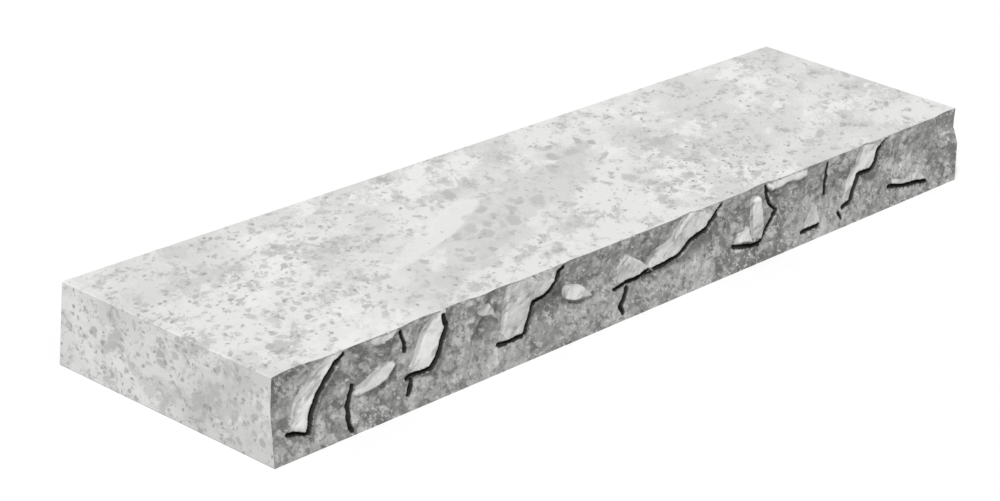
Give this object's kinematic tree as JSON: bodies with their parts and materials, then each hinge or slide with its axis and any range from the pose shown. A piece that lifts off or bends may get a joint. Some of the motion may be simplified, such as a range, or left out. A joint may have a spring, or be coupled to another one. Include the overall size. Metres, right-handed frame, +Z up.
{
  "type": "wall coping",
  "caption": "Long rectangular wall coping of pale stone with a flat sawn top, bed, back and ends and a split, rock-faced front that leans out towards its foot.",
  "frame": {"origin": "on the bed, under the middle of the block", "axes": "+X along the wall, -Y out of the split face, +Z up"},
  "size_m": [1.219, 0.305, 0.092],
  "materials": {
    "limestone": "matt"
  },
  "bodies": {
    "root": {"coping_stone": "limestone"}
  },
  "joints": []
}
